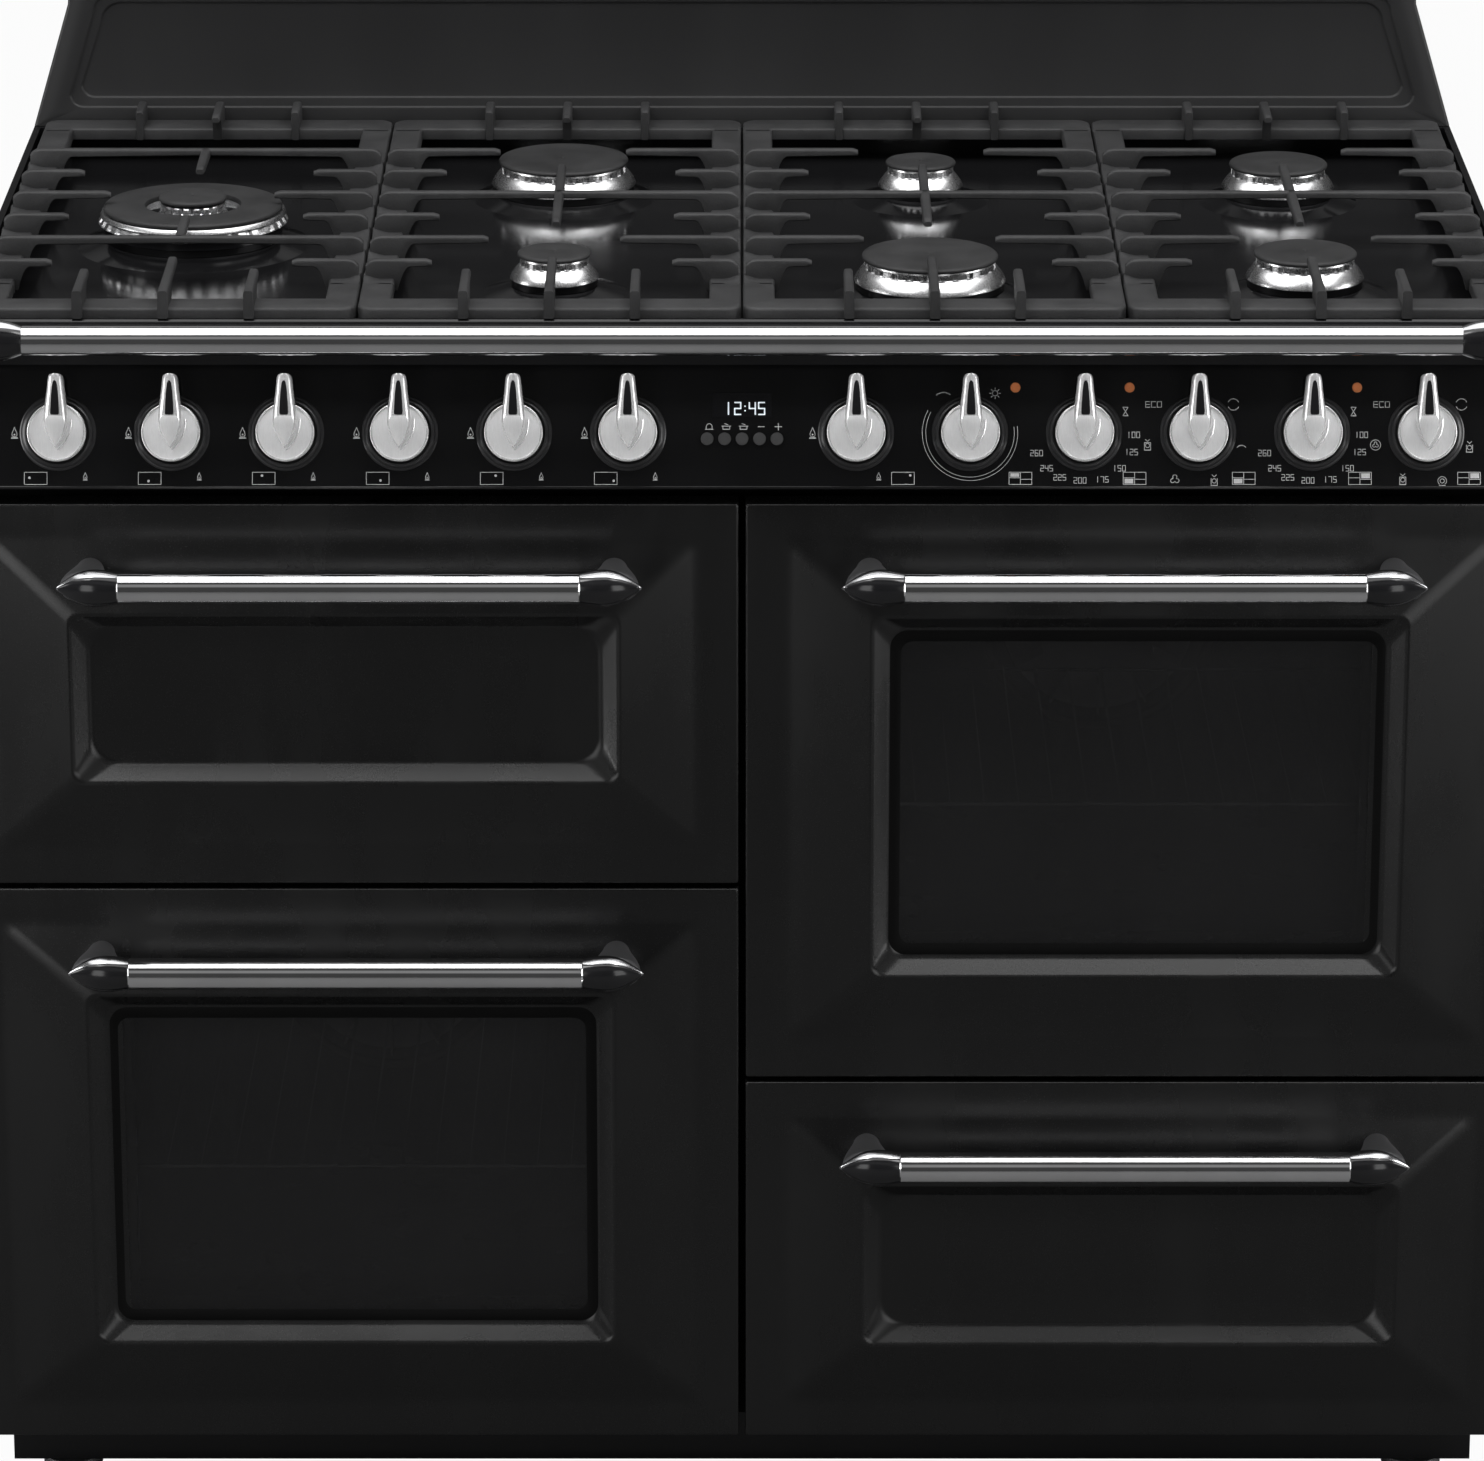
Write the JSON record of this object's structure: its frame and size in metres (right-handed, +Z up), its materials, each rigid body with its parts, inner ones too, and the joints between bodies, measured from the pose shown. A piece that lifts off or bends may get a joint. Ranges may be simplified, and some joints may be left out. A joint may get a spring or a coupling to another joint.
{
  "type": "range cooker",
  "caption": "Wide dual fuel range cooker: gas hob with cast pan supports, leaning control panel, grill, glazed ovens with drop-down doors and a storage drawer.",
  "frame": {"origin": "middle of the footprint, on the floor under the levelling feet", "axes": "+Z up, +X to the right seen from the front, +Y to the rear, so the doors face -Y"},
  "size_m": [1.1, 0.664, 1.0303],
  "materials": {
    "black_enamel": "gloss",
    "galvanised_steel": "satin",
    "cast_iron": "matte",
    "burner_base": "satin",
    "burner_aluminium": "polished",
    "chrome": "polished",
    "silver_plastic": "satin",
    "dark_plastic": "gloss",
    "clock_plastic": "gloss",
    "lamp_orange": "gloss",
    "glass": "gloss",
    "liner_enamel": "gloss",
    "gasket_rubber": "matte",
    "wire_chrome": "polished",
    "drawer_steel": "satin",
    "fan_steel": "satin",
    "element_steel": "matte",
    "foot_steel": "satin"
  },
  "bodies": {
    "range": {"chassis": "galvanised_steel", "side_panels": "black_enamel", "rear_panel": "galvanised_steel", "plinth": "black_enamel", "worktop": "black_enamel", "splashback": "black_enamel", "burner_cups": "burner_base", "flame_spreaders": "burner_aluminium", "burner_caps": "cast_iron", "gas_manifold": "galvanised_steel", "control_switches": "dark_plastic", "control_panel": "black_enamel", "knob_bezels": "dark_plastic", "clock_display": "clock_plastic", "indicator_lamps": "lamp_orange", "front_rail": "chrome", "drawer_runners": "galvanised_steel", "grill_cavity": "liner_enamel", "left_oven_cavity": "liner_enamel", "right_oven_cavity": "liner_enamel", "door_gaskets": "gasket_rubber", "oven_wirework": "wire_chrome", "grill_pan": "liner_enamel", "heating_elements": "element_steel", "door_hinges": "galvanised_steel"},
    "pan_support_far_left_body": {"pan_support_far_left": "cast_iron"},
    "pan_support_mid_left_body": {"pan_support_mid_left": "cast_iron"},
    "pan_support_mid_right_body": {"pan_support_mid_right": "cast_iron"},
    "pan_support_far_right_body": {"pan_support_far_right": "cast_iron"},
    "gas_knob_1_body": {"gas_knob_1": "silver_plastic"},
    "gas_knob_2_body": {"gas_knob_2": "silver_plastic"},
    "gas_knob_3_body": {"gas_knob_3": "silver_plastic"},
    "gas_knob_4_body": {"gas_knob_4": "silver_plastic"},
    "gas_knob_5_body": {"gas_knob_5": "silver_plastic"},
    "gas_knob_6_body": {"gas_knob_6": "silver_plastic"},
    "gas_knob_7_body": {"gas_knob_7": "silver_plastic"},
    "grill_knob_body": {"grill_knob": "silver_plastic"},
    "left_thermostat_knob_body": {"left_thermostat_knob": "silver_plastic"},
    "left_function_knob_body": {"left_function_knob": "silver_plastic"},
    "right_thermostat_knob_body": {"right_thermostat_knob": "silver_plastic"},
    "right_function_knob_body": {"right_function_knob": "silver_plastic"},
    "clock_button_1_body": {"clock_button_1": "dark_plastic"},
    "clock_button_2_body": {"clock_button_2": "dark_plastic"},
    "clock_button_3_body": {"clock_button_3": "dark_plastic"},
    "clock_button_4_body": {"clock_button_4": "dark_plastic"},
    "clock_button_5_body": {"clock_button_5": "dark_plastic"},
    "grill_door_body": {"grill_door": "black_enamel", "grill_door_handle": "chrome"},
    "left_oven_door_body": {"left_oven_door": "black_enamel", "left_oven_door_glass": "glass", "left_oven_door_handle": "chrome"},
    "right_oven_door_body": {"right_oven_door": "black_enamel", "right_oven_door_glass": "glass", "right_oven_door_handle": "chrome"},
    "drawer_body": {"drawer_front": "black_enamel", "drawer_handle": "chrome", "drawer_box": "drawer_steel"},
    "left_oven_fan_body": {"left_oven_fan": "fan_steel"},
    "right_oven_fan_body": {"right_oven_fan": "fan_steel"},
    "feet_body": {"levelling_feet": "foot_steel"}
  },
  "joints": [
    {"name": "gas_knob_1_turn", "type": "hinge", "parent": "range", "child": "gas_knob_1_body", "pos_m": [-0.4818, -0.25564, 0.81509], "axis": [0, -0.9511, 0.309], "range_deg": [0, 214]},
    {"name": "gas_knob_2_turn", "type": "hinge", "parent": "range", "child": "gas_knob_2_body", "pos_m": [-0.4015, -0.25564, 0.81509], "axis": [0, -0.9511, 0.309], "range_deg": [0, 214]},
    {"name": "gas_knob_3_turn", "type": "hinge", "parent": "range", "child": "gas_knob_3_body", "pos_m": [-0.3212, -0.25564, 0.81509], "axis": [0, -0.9511, 0.309], "range_deg": [0, 214]},
    {"name": "gas_knob_4_turn", "type": "hinge", "parent": "range", "child": "gas_knob_4_body", "pos_m": [-0.2409, -0.25564, 0.81509], "axis": [0, -0.9511, 0.309], "range_deg": [0, 214]},
    {"name": "gas_knob_5_turn", "type": "hinge", "parent": "range", "child": "gas_knob_5_body", "pos_m": [-0.1606, -0.25564, 0.81509], "axis": [0, -0.9511, 0.309], "range_deg": [0, 214]},
    {"name": "gas_knob_6_turn", "type": "hinge", "parent": "range", "child": "gas_knob_6_body", "pos_m": [-0.0803, -0.25564, 0.81509], "axis": [0, -0.9511, 0.309], "range_deg": [0, 214]},
    {"name": "gas_knob_7_turn", "type": "hinge", "parent": "range", "child": "gas_knob_7_body", "pos_m": [0.0803, -0.25564, 0.81509], "axis": [0, -0.9511, 0.309], "range_deg": [0, 214]},
    {"name": "grill_knob_turn", "type": "hinge", "parent": "range", "child": "grill_knob_body", "pos_m": [0.1606, -0.25564, 0.81509], "axis": [0, -0.9511, 0.309], "range_deg": [-297, 0]},
    {"name": "left_thermostat_knob_turn", "type": "hinge", "parent": "range", "child": "left_thermostat_knob_body", "pos_m": [0.2409, -0.25564, 0.81509], "axis": [0, -0.9511, 0.309], "range_deg": [-247, 0]},
    {"name": "left_function_knob_turn", "type": "hinge", "parent": "range", "child": "left_function_knob_body", "pos_m": [0.3212, -0.25564, 0.81509], "axis": [0, -0.9511, 0.309], "continuous": true},
    {"name": "right_thermostat_knob_turn", "type": "hinge", "parent": "range", "child": "right_thermostat_knob_body", "pos_m": [0.4015, -0.25564, 0.81509], "axis": [0, -0.9511, 0.309], "range_deg": [-247, 0]},
    {"name": "right_function_knob_turn", "type": "hinge", "parent": "range", "child": "right_function_knob_body", "pos_m": [0.4818, -0.25564, 0.81509], "axis": [0, -0.9511, 0.309], "continuous": true},
    {"name": "clock_button_1_press", "type": "slide", "parent": "range", "child": "clock_button_1_body", "axis": [0, 0.9511, -0.309], "range_m": [0, 0.0015], "stiffness_N_per_m": 200, "springref_m": -0.002},
    {"name": "clock_button_2_press", "type": "slide", "parent": "range", "child": "clock_button_2_body", "axis": [0, 0.9511, -0.309], "range_m": [0, 0.0015], "stiffness_N_per_m": 200, "springref_m": -0.002},
    {"name": "clock_button_3_press", "type": "slide", "parent": "range", "child": "clock_button_3_body", "axis": [0, 0.9511, -0.309], "range_m": [0, 0.0015], "stiffness_N_per_m": 200, "springref_m": -0.002},
    {"name": "clock_button_4_press", "type": "slide", "parent": "range", "child": "clock_button_4_body", "axis": [0, 0.9511, -0.309], "range_m": [0, 0.0015], "stiffness_N_per_m": 200, "springref_m": -0.002},
    {"name": "clock_button_5_press", "type": "slide", "parent": "range", "child": "clock_button_5_body", "axis": [0, 0.9511, -0.309], "range_m": [0, 0.0015], "stiffness_N_per_m": 200, "springref_m": -0.002},
    {"name": "grill_door_hinge", "type": "hinge", "parent": "range", "child": "grill_door_body", "pos_m": [-0.27535, -0.258, 0.50215], "axis": [1, 0, 0], "range_deg": [0, 90]},
    {"name": "left_oven_door_hinge", "type": "hinge", "parent": "range", "child": "left_oven_door_body", "pos_m": [-0.27535, -0.258, 0.071], "axis": [1, 0, 0], "range_deg": [0, 90]},
    {"name": "right_oven_door_hinge", "type": "hinge", "parent": "range", "child": "right_oven_door_body", "pos_m": [0.27535, -0.258, 0.35355], "axis": [1, 0, 0], "range_deg": [0, 90]},
    {"name": "drawer_slide", "type": "slide", "parent": "range", "child": "drawer_body", "axis": [0, -1, 0], "range_m": [0, 0.26]},
    {"name": "pan_support_far_left_lift", "type": "slide", "parent": "range", "child": "pan_support_far_left_body", "axis": [0, 0, 1], "range_m": [0, 0.15]},
    {"name": "pan_support_mid_left_lift", "type": "slide", "parent": "range", "child": "pan_support_mid_left_body", "axis": [0, 0, 1], "range_m": [0, 0.15]},
    {"name": "pan_support_mid_right_lift", "type": "slide", "parent": "range", "child": "pan_support_mid_right_body", "axis": [0, 0, 1], "range_m": [0, 0.15]},
    {"name": "pan_support_far_right_lift", "type": "slide", "parent": "range", "child": "pan_support_far_right_body", "axis": [0, 0, 1], "range_m": [0, 0.15]},
    {"name": "left_oven_fan_spin", "type": "hinge", "parent": "range", "child": "left_oven_fan_body", "pos_m": [-0.27535, 0.17, 0.265], "axis": [0, 1, 0], "continuous": true},
    {"name": "right_oven_fan_spin", "type": "hinge", "parent": "range", "child": "right_oven_fan_body", "pos_m": [0.27535, 0.17, 0.54755], "axis": [0, 1, 0], "continuous": true},
    {"name": "feet_screw_out", "type": "slide", "parent": "range", "child": "feet_body", "axis": [0, 0, -1], "range_m": [0, 0.015]}
  ]
}
